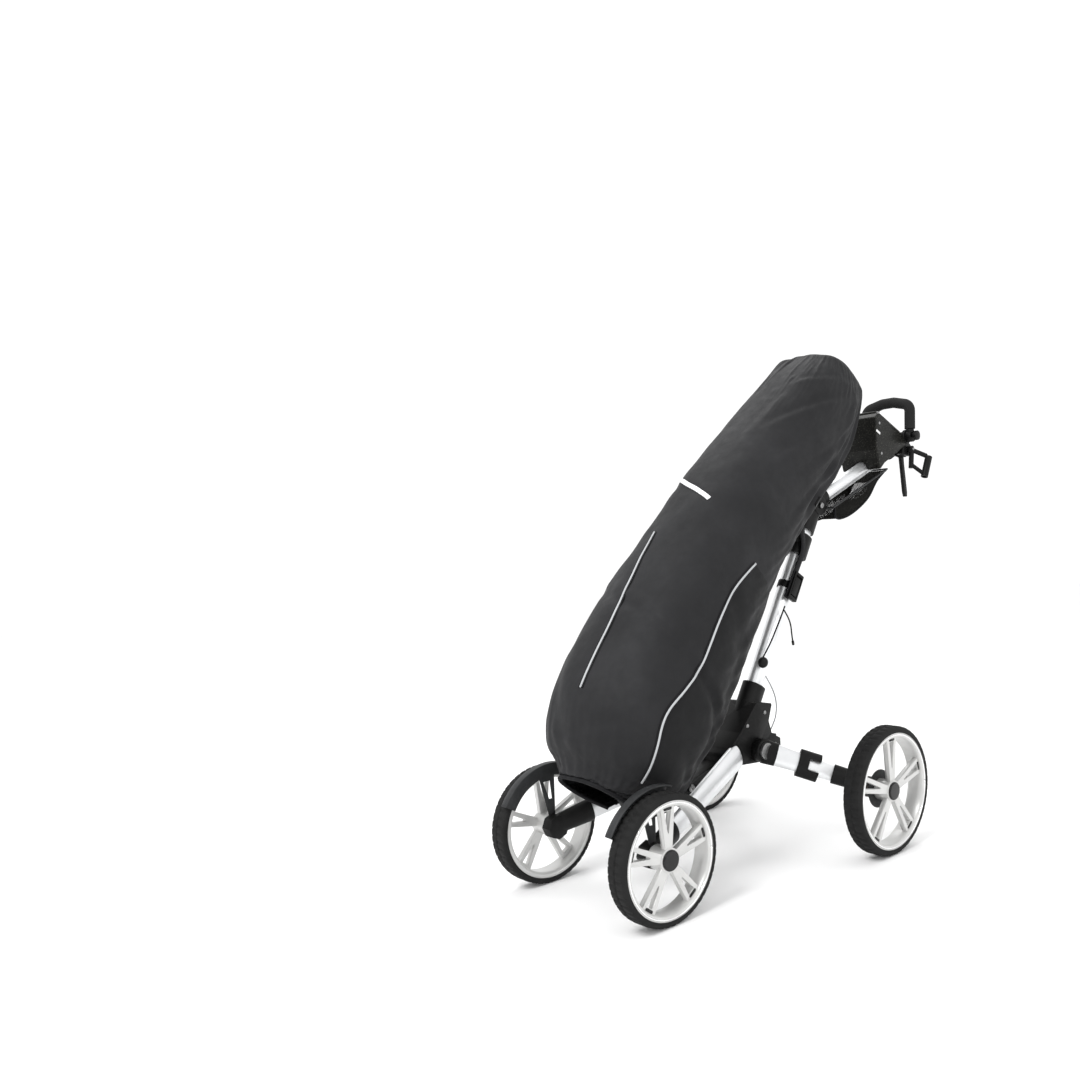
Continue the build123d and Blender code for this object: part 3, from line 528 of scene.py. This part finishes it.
def fabric_depth(turn, t):
    """How far the cloth stands off its section, in mm: creases, soft buckles and the gathered hem."""
    point, _ = cover_point(turn, t)
    soft = noise.noise(point * 0.011) * 5.0 + noise.noise(point * 0.027 + Vector((7, 3, 1))) * 2.4
    depth = crease_depth(turn, t) + soft - 1.5 + club_heads(turn, t)
    hem = rounded(t - HEM_T, 0.0, 1.8)
    gathers = math.sin(math.radians(turn) * 34 + 3 * noise.noise(point * 0.02)) * 3.4
    depth += hem * (gathers - 1.0)
    near_tube = rounded(angle_gap(turn, REAR), 26, 50)
    return depth * (1 - near_tube) + min(depth, -2.0) * near_tube


def cover_grid():
    points = []
    for i in range(ROWS):
        t = row_height(i)
        for j in range(AROUND):
            turn = 360 * j / AROUND
            base, out = cover_point(turn, t, 0.0)
            base += out * fabric_depth(turn, t)
            points.append(at(*base))
    return points


def simulate_cover(obj, frames=DRAPE_FRAMES):
    """Cloth simulation: the cover, cut a little large, settles on the bag and the clubs inside it."""
    scene = bpy.context.scene
    start = [v.co.copy() for v in obj.data.vertices]
    verts, rows = [], 40
    for i in range(rows):
        t = row_height(i, rows)
        for j in range(48):
            point, _ = cover_point(360 * j / 48, t, -15.0)
            verts.append(at(*point))
    faces = grid_faces(rows, 48, True) + [tuple(range(48)), tuple(range(len(verts) - 48, len(verts)))]
    former = bpy.data.meshes.new("bag_form")
    former.from_pydata([tuple(v) for v in verts], [], faces)
    form = bpy.data.objects.new("bag_form", former)
    scene.collection.objects.link(form)
    form.modifiers.new("Collision", "COLLISION")
    form.collision.thickness_outer = 0.002
    held = obj.vertex_groups.new(name="held")
    for index in range(len(start)):
        row, column = divmod(index, AROUND)
        t = row_height(row)
        turn = 360 * column / AROUND
        hold = max(rounded(t - HEM_T, 0.15, 0.5), rounded(SPAN - t, 0.3, 0.8))
        hold = max(hold, rounded(angle_gap(turn, REAR), 16, 34) * 0.9)
        if hold > 0.02:
            held.add([index], hold, "REPLACE")
    cloth = obj.modifiers.new("Cloth", "CLOTH")
    settings = cloth.settings
    settings.quality = 5
    settings.mass = 0.3
    settings.tension_stiffness = 12
    settings.compression_stiffness = 12
    settings.shear_stiffness = 6
    settings.bending_stiffness = 0.6
    settings.shrink_min = -0.035
    settings.vertex_group_mass = "held"
    cloth.collision_settings.collision_quality = 2
    cloth.collision_settings.distance_min = 0.002
    cloth.point_cache.frame_start = 1
    cloth.point_cache.frame_end = frames
    for number in range(1, frames + 1):
        scene.frame_set(number)
    settled = obj.evaluated_get(bpy.context.evaluated_depsgraph_get()).data
    moved = [v.co.copy() for v in settled.vertices]
    obj.modifiers.remove(cloth)
    scene.frame_set(1)
    for index, vertex in enumerate(obj.data.vertices):
        step = moved[index] - start[index]
        if step.length > MOST_DRAPE:
            step *= MOST_DRAPE / step.length
        vertex.co = start[index] + step
    obj.data.update()
    bpy.data.objects.remove(form)


SIDE_PANEL = 66.0            # degrees of dark panel behind each side zip
SIDE_ZIP = [(-4, 5.7), (-12, 4.9), (-13, 4.3), (-12, 3.4), (-15, 2.9), (-20, 2.3), (-15, 1.5), (-10, 0.35)]
FRONT_ZIP = [(-98, 5.5), (-92, 4.5), (-87, 3.5), (-86, 2.2)]
BAR = [(-114, 6.95), (-98, 6.75), (-82, 6.55), (-68, 6.4)]


def zip_turn(t):
    """Angle of the left side zip at a height."""
    for (a0, t0), (a1, t1) in zip(SIDE_ZIP, SIDE_ZIP[1:]):
        if t1 <= t <= t0:
            return a0 + (a1 - a0) * (t - t0) / (t1 - t0)
    return SIDE_ZIP[-1][0]


def surface_line(cover, stations, steps, lift, mirror=False):
    """Line on the finished cloth through (angle, height) stations, lifted off it."""
    smooth = smooth_line([Vector((a, t, 0)) for a, t in stations], steps)
    mesh = cover.data
    points, normals = [], []
    for place in smooth:
        turn = (180 - place.x if mirror else place.x) % 360
        column = turn / 360 * AROUND
        row = min(max((place.y - HEM_T) / (SPAN - HEM_T) * (ROWS - 1), 0), ROWS - 1.001)
        i, j = int(row), int(column)
        fi, fj = row - i, column - j
        corner = [(i * AROUND + j % AROUND, (1 - fi) * (1 - fj)),
                  (i * AROUND + (j + 1) % AROUND, (1 - fi) * fj),
                  ((i + 1) * AROUND + j % AROUND, fi * (1 - fj)),
                  ((i + 1) * AROUND + (j + 1) % AROUND, fi * fj)]
        point, normal = Vector(), Vector()
        for index, weight in corner:
            point += mesh.vertices[index].co * weight
            normal += mesh.vertices[index].normal * weight
        points.append(point + normal.normalized() * lift)
        normals.append(normal.normalized())
    for _ in range(3):
        points[1:-1] = [(a + b * 2 + c) / 4 for a, b, c in zip(points, points[1:], points[2:])]
        normals[1:-1] = [(a + b * 2 + c).normalized() for a, b, c in zip(normals, normals[1:], normals[2:])]
    return points, normals


def ribbon(name, points, normals, width, thick, material, body):
    """Flat strip along a line, lying on the cloth."""
    verts = []
    for i, (point, normal) in enumerate(zip(points, normals)):
        ahead = (points[min(i + 1, len(points) - 1)] - points[max(i - 1, 0)]).normalized()
        side = ahead.cross(normal).normalized() * (width / 2)
        up = normal * thick
        verts += [point - side, point - side * 0.9 + up, point + side * 0.9 + up, point + side]
    faces = grid_faces(len(points), 4, True)
    faces += [(3, 2, 1, 0), tuple(range(len(verts) - 4, len(verts)))]
    return new_mesh(name, verts, faces, material, body)


def in_notch(corners):
    """The slit at the back of the hem that lets the cradle's arm through."""
    middle = sum(corners, Vector()) / len(corners)
    base = at(0, 60, 285)
    up_bag = (middle - base).dot(Vector((0, math.cos(BAG_LEAN), math.sin(BAG_LEAN))))
    below = (middle - base).dot(Vector((0, math.sin(BAG_LEAN), -math.cos(BAG_LEAN))))
    return up_bag < -0.044 and below > 0.05 and abs(middle.x) < 0.03


def rain_cover():
    points = cover_grid()
    faces = [face for face in grid_faces(ROWS, AROUND, True) if not in_notch([points[k] for k in face])]
    top = (ROWS - 1) * AROUND
    cover = new_mesh("cover_cloth", points, faces, M["cover_cloth"], "frame")
    simulate_cover(cover)
    cover.data.materials.append(M["cover_panel"])
    for polygon in cover.data.polygons:
        row, column = divmod(polygon.vertices[0], AROUND)
        t = row_height(row + 0.5)
        turn = 360 * (column + 0.5) / AROUND
        if t < SIDE_ZIP[0][1]:
            edge = zip_turn(t)
            left = (turn - edge) % 360 < SIDE_PANEL
            right = (180 - turn - edge) % 360 < SIDE_PANEL
            if left or right:
                polygon.material_index = 1
    close_crown(cover, top)
    lines = {}
    for side, mirror in (("left", False), ("right", True)):
        lines[side] = surface_line(cover, SIDE_ZIP, 10, 0.0008, mirror)
    front = surface_line(cover, FRONT_ZIP, 10, 0.0008)
    bar = surface_line(cover, BAR, 8, 0.0006)
    hem = surface_line(cover, [(112 + k * 10, HEM_T + 0.1) for k in range(32)], 4, 0.0015)
    thicken = cover.modifiers.new("Cloth thickness", "SOLIDIFY")
    thicken.thickness = 0.0012
    thicken.offset = -1
    smooth = cover.modifiers.new("Smooth", "SUBSURF")
    smooth.levels = smooth.render_levels = 1
    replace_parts(cover, "rain_cover")
    for side in lines:
        points, normals = lines[side]
        tube_mesh(f"side_piping_{side}", points, 0.0026, M["piping"], "frame", 8)
        for shift, label in ((0.004, "a"), (-0.004, "b")):
            edge = [p + n.cross(Vector((0, 0.64, 0.77))).normalized() * shift
                    for p, n in zip(points, normals)]
            ribbon(f"side_zip_tape_{side}_{label}", edge, normals, 0.005, 0.0007, M["hem"], "frame")
    tube_mesh("front_piping", front[0], 0.0028, M["piping"], "frame", 8)
    ribbon("front_zip_tape", front[0], front[1], 0.014, 0.0009, M["hem"], "frame")
    ribbon("reflective_bar", bar[0], bar[1], 0.011, 0.0012, M["bar"], "frame")
    tube_mesh("gathered_hem", hem[0], 0.005, M["hem"], "frame", 10)
    return cover


def close_crown(cover, top):
    """Gathers the crown's last ring into rings that close over the top."""
    mesh = cover.data
    ring = [mesh.vertices[top + j].co.copy() for j in range(AROUND)]
    centre = sum(ring, Vector()) / AROUND
    lift = Vector((0, 0.35, 0.94)) * 0.006
    verts = [v.co.copy() for v in mesh.vertices]
    faces = [tuple(p.vertices) for p in mesh.polygons]
    slots = [p.material_index for p in mesh.polygons]
    shares = (0.8, 0.58, 0.36, 0.15)
    for share in shares:
        verts += [centre + (p - centre) * share + lift * (1 - share * share) for p in ring]
    verts.append(centre + lift)
    for level in range(len(shares)):
        a, b = top + level * AROUND, top + (level + 1) * AROUND
        faces += [(a + j, a + (j + 1) % AROUND, b + (j + 1) % AROUND, b + j) for j in range(AROUND)]
    last = top + len(shares) * AROUND
    faces += [(last + j, last + (j + 1) % AROUND, len(verts) - 1) for j in range(AROUND)]
    materials = list(mesh.materials)
    fresh = bpy.data.meshes.new("cover_cloth_closed")
    fresh.from_pydata([tuple(v) for v in verts], [], faces)
    for material in materials:
        fresh.materials.append(material)
    for index, polygon in enumerate(fresh.polygons):
        polygon.use_smooth = True
        polygon.material_index = slots[index] if index < len(slots) else 0
    cover.data = fresh


# ---- net pouch ----------------------------------------------------------------------------------
POUCH_HALF = 36.5
POUCH_TOP = [(802, 808), (1048, 909)]
POUCH_FLOOR = [(802, 808), (808, 779), (850, 781), (904, 801), (960, 834), (1002, 878), (1048, 909)]
NET_COLUMNS = 90
NET_THREAD = 0.0021


def along_outline(points, share):
    lengths = [math.dist(a, b) for a, b in zip(points, points[1:])]
    left = share * sum(lengths)
    for (a, b), length in zip(zip(points, points[1:]), lengths):
        if left <= length or b is points[-1]:
            f = min(1.0, left / length)
            return (a[0] + (b[0] - a[0]) * f, a[1] + (b[1] - a[1]) * f)
        left -= length
    return points[-1]


def net_panel(name, place, columns, rows):
    """Net of diamond meshes over place(u, v), with real threads."""
    verts = [at(*place(i / columns, j / rows)) for i in range(columns + 1) for j in range(rows + 1)]
    faces = []
    for i in range(1, columns):
        for j in range(1, rows):
            if (i + j) % 2:
                knots = ((i - 1, j), (i, j - 1), (i + 1, j), (i, j + 1))
                faces.append(tuple(a * (rows + 1) + b for a, b in knots))
    net = new_mesh(name, verts, faces, M["net"], "frame")
    threads = net.modifiers.new("Threads", "WIREFRAME")
    threads.thickness = NET_THREAD
    threads.use_even_offset = False
    return net


def side_net(side):
    def place(u, v):
        top = along_outline(POUCH_TOP, u)
        foot = along_outline(POUCH_FLOOR, u)
        belly = 3.0 * math.sin(math.pi * u) * math.sin(math.pi * v)
        return (side * (POUCH_HALF - 1.5 + belly), top[0] + (foot[0] - top[0]) * v,
                top[1] + (foot[1] - top[1]) * v)
    return place


def floor_net(u, v):
    foot = along_outline(POUCH_FLOOR, u)
    sag = 3.0 * math.sin(math.pi * v) * math.sin(math.pi * u)
    return (POUCH_HALF * (2 * v - 1), foot[0], foot[1] - sag)


def net_pouch():
    left = net_panel("net_side_left", side_net(1), NET_COLUMNS, 30)
    net_panel("net_side_right", side_net(-1), NET_COLUMNS, 30)
    net_panel("net_floor", floor_net, NET_COLUMNS, 30)
    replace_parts(left, "net_pouch")
    for side, label in ((1, "left"), (-1, "right")):
        floor = smooth_line([at(side * POUCH_HALF, y, z) for y, z in POUCH_FLOOR], 6)
        tube_mesh(f"pouch_binding_{label}", floor, 0.0024, M["binding"], "frame", 8)
        top = [at(side * POUCH_HALF, *along_outline(POUCH_TOP, k / 12)) for k in range(13)]
        tube_mesh(f"pouch_edge_{label}", top, 0.0036, M["binding"], "frame", 8)


# ---- small fittings -----------------------------------------------------------------------------
def screw_head(name, centre, axis, radius, body):
    """Button-head screw with a round recess."""
    profile = [(-0.001, radius), (0.0008, radius), (radius * 0.34, radius * 0.82),
               (radius * 0.5, radius * 0.5),
               (radius * 0.5, radius * 0.42), (0.0006, radius * 0.40)]
    return turned_mesh(name, profile, centre, axis, M["steel"], body, 24)


def screws():
    out = Vector((1, 0, 0))
    for side, label in ((1, "left"), (-1, "right")):
        for number, (y, z) in enumerate(((352, 222), (420, 300), (484, 322), (520, 240))):
            screw_head(f"housing_screw_{label}_{number}", at(side * 45, y, z), out * side, 0.0048, "frame")
        screw_head(f"joint_screw_{label}", at(side * 27, 760, 812), out * side, 0.0075, "frame")
        screw_head(f"cradle_screw_{label}", at(side * 23, 250, 186), out * side, 0.0085, "frame")
        for number, (y, z) in enumerate(((985, 1030), (992, 950))):
            screw_head(f"console_screw_{label}_{number}", at(side * 60, y, z), out * side, 0.004, "frame")


def console_plate():
    """Small blank silver plate on the console's left flank."""
    middle, half, high = at(60.4, 978, 1006), Vector((0, 0.0085, -0.0040)), Vector((0.0, 0.0012, 0.0030))
    verts = [middle + half * a + high * b + Vector((c, 0, 0)) for c in (-0.0012, 0.0006)
             for a, b in ((-1, -1), (1, -1), (1, 1), (-1, 1))]
    faces = [(3, 2, 1, 0), (4, 5, 6, 7)] + [(k, (k + 1) % 4, 4 + (k + 1) % 4, 4 + k) for k in range(4)]
    plate = new_mesh("console_plate", verts, faces, M["bright"], "frame")
    edge = plate.modifiers.new("Edge round", "BEVEL")
    edge.width = 0.0004
    edge.segments = 2
    edge.harden_normals = True


def tube_knob():
    """Round knob on the tube's left side that the elastic cord hooks on."""
    knob = at(27, 503, 438)
    out = Vector((1, -0.25, 0)).normalized()
    profile = [(-0.012, 0.005), (-0.004, 0.005), (-0.004, 0.0105), (-0.001, 0.0128), (0.003, 0.0135),
               (0.007, 0.0122), (0.0095, 0.008), (0.0102, 0.003)]
    turned_mesh("cord_knob", profile, knob, out, M["black_moulding"], "frame", 40)
    collar = [(-0.007, 0.0055), (-0.007, 0.008), (-0.005, 0.0085), (-0.004, 0.0055)]
    turned_mesh("cord_knob_collar", collar, knob, out, M["steel"], "frame", 32)


def frame_cords():
    """The brake cable and the two thin cords by the strap buckle."""
    cable = [(12, 532, 400), (16, 550, 372), (20, 561, 336), (23, 554, 302), (24, 538, 280), (24, 522, 262)]
    free_cord("brake_cable_sleeve", cable, 0.0032, M["cable_sleeve"],
              "brake_cable")
    elastic = [(30, 592, 566), (31, 574, 540), (31, 552, 510), (30, 530, 478), (27, 505, 448)]
    free_cord("elastic_cord", elastic, 0.0038, M["binding"])
    tail = [(31, 588, 556), (37, 596, 538), (40, 601, 518), (39, 604, 498), (40, 606, 480)]
    end = turned_mesh("cord_tail_end", [(0, 0.002), (0.001, 0.0034), (0.010, 0.0034), (0.012, 0.002)],
                      at(40, 606, 481), at(40, 606, 480) - at(39, 604, 498), M["gloss_black"], "frame",
                      16)
    free_cord("cord_tail", tail, 0.0036, M["binding"], None)


def free_cord(name, route, diameter, material, node=None):
    """Cord along a smooth NURBS line with the route's points as its control points."""
    line = spline_points(name, [at(*place) for place in route])
    obj = tube_mesh(name, line, diameter / 2, material, "frame", 12)
    if node:
        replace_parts(obj, node)
    return obj


def spline_points(name, route):
    curve = bpy.data.curves.new(name + "_line", "CURVE")
    curve.dimensions = "3D"
    spline = curve.splines.new("NURBS")
    spline.points.add(len(route) - 1)
    for point, place in zip(spline.points, route):
        point.co = (*place, 1)
    spline.order_u = 3
    spline.use_endpoint_u = True
    spline.resolution_u = 10
    guide = bpy.data.objects.new(name + "_line", curve)
    mesh = bpy.data.meshes.new_from_object(guide)
    line = [v.co.copy() for v in mesh.vertices]
    bpy.data.meshes.remove(mesh)
    bpy.data.objects.remove(guide)
    bpy.data.curves.remove(curve)
    return line


def webbing():
    """Strap from the buckle up to the bracket, flat against the tube's left side."""
    points = smooth_line([at(24, 606, 585), at(26, 622, 612), at(27, 648, 655), at(26, 676, 700),
                          at(30, 672, 742), at(36, 662, 764)], 8)
    normals = [Vector((1, 0.1, 0)).normalized()] * len(points)
    ribbon("buckle_webbing", points, normals, 0.020, 0.0016, M["binding"], "frame")


# ---- bag inside the cover -----------------------------------------------------------------------
def inner_bag():
    """Sewn bag body with piping rings and a sagging front pocket, under the cover."""
    foot = at(0, 60, 285)
    up = Vector((0, math.cos(BAG_LEAN), math.sin(BAG_LEAN)))
    down = Vector((0, math.sin(BAG_LEAN), -math.cos(BAG_LEAN)))
    verts, steps = [], 72
    for row in range(88):
        s = row / 87 * 0.866
        for k in range(steps):
            turn = 2 * math.pi * k / steps
            sag = 0.0018 * noise.noise(Vector((math.cos(turn) * 2, math.sin(turn) * 2, s * 14)))
            radius = 0.1022 + sag - (0.002 if row % 29 == 14 else 0.0)
            verts.append(foot + up * (s + 0.001) + Vector((radius * math.cos(turn), 0, 0))
                         + down * (radius * math.sin(turn)))
    faces = grid_faces(88, steps, True)
    body = new_mesh("sewn_bag_body", verts, faces, M["bag_cloth"], "frame")
    wall = body.modifiers.new("Cloth thickness", "SOLIDIFY")
    wall.thickness = 0.0025
    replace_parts(body, "bag_shell")
    verts = []
    for i in range(49):
        v = i / 48
        for j in range(33):
            u = j / 32
            turn = math.radians(-90 + (u - 0.5) * 78)
            puff = (math.sin(math.pi * u) * math.sin(math.pi * v)) ** 0.4
            ripple = 0.002 * noise.noise(Vector((u * 6, v * 9, 2)))
            radius = 0.105 + (0.036 + ripple) * puff
            verts.append(foot + up * (0.065 + 0.33 * v) + Vector((radius * math.cos(turn), 0, 0))
                         + down * (radius * math.sin(turn)))
    pocket = new_mesh("sewn_front_pocket", verts, grid_faces(49, 33), M["bag_cloth"], "frame")
    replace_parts(pocket, "front_pocket")


# ---- camera, light, floor -----------------------------------------------------------------------
def studio():
    floor_mesh = bpy.data.meshes.new("studio_floor")
    floor_mesh.from_pydata([(-12, -12, 0), (12, -12, 0), (12, 12, 0), (-12, 12, 0)], [], [(0, 1, 2, 3)])
    floor = bpy.data.objects.new("studio_floor", floor_mesh)
    bpy.context.scene.collection.objects.link(floor)
    material, tree, shader = start_material("pale_floor", (0.93, 0.93, 0.93), 0.8, Specular_IOR_Level=0.1)
    clouds = noise_field(tree, place_vector(tree), 1.2)
    tree.links.new(ramp(tree, clouds, [(0.3, (0.925, 0.925, 0.925)), (0.7, (0.945, 0.945, 0.945))]),
                   shader.inputs["Base Color"])
    floor_mesh.materials.append(material)
    world = bpy.data.worlds.new("studio_sky")
    bpy.context.scene.world = world
    world.use_nodes = True
    world.node_tree.nodes["Background"].inputs["Color"].default_value = (1, 1, 1, 1)
    world.node_tree.nodes["Background"].inputs["Strength"].default_value = 1.08
    bpy.context.scene.view_settings.view_transform = "Standard"
    lamps = [("key", (0.4, -2.8, 3.0), 1.2, 70), ("fill", (3.2, 0.6, 1.6), 2.0, 15),
             ("top", (-1.2, 0.8, 3.4), 2.0, 30)]
    for name, place, size, power in lamps:
        light = bpy.data.lights.new(name, "AREA")
        light.shape = "DISK"
        light.size = size
        light.energy = power
        obj = bpy.data.objects.new(name, light)
        obj.location = place
        obj.rotation_mode = "QUATERNION"
        obj.rotation_quaternion = (Vector((0, 0, 0.5)) - Vector(place)).to_track_quat("-Z", "Y")
        bpy.context.scene.collection.objects.link(obj)


CAMERA_AZIMUTH, CAMERA_ELEVATION, CAMERA_ROLL = (math.radians(a) for a in (45.82, 3.94, -2.32))
CAMERA_PLACE = Vector((1.43423, -1.72908, 0.71663))
CAMERA_LENS = 30.86
CAMERA_SHIFT = (-0.1112, 0.0677)


def camera():
    a, e, r = CAMERA_AZIMUTH, CAMERA_ELEVATION, CAMERA_ROLL
    back = Vector((math.sin(a) * math.cos(e), -math.cos(a) * math.cos(e), math.sin(e)))
    level = Vector((math.cos(a), math.sin(a), 0))
    up = back.cross(level)
    right = level * math.cos(r) + up * math.sin(r)
    above = up * math.cos(r) - level * math.sin(r)
    data = bpy.data.cameras.new("three_quarter_view")
    data.sensor_width = 36
    data.lens = CAMERA_LENS
    data.shift_x, data.shift_y = CAMERA_SHIFT
    obj = bpy.data.objects.new("three_quarter_view", data)
    obj.matrix_world = Matrix.Translation(CAMERA_PLACE) @ Matrix((right, above, back)).transposed().to_4x4()
    bpy.context.scene.collection.objects.link(obj)
    bpy.context.scene.camera = obj


dress_cad_nodes()
for wheel in (("front", "left"), ("front", "right"), ("rear", "left"), ("rear", "right")):
    tyre(wheel)
    rim_trim(wheel)
inner_bag()
rain_cover()
net_pouch()
screws()
console_plate()
tube_knob()
webbing()
frame_cords()
studio()
camera()
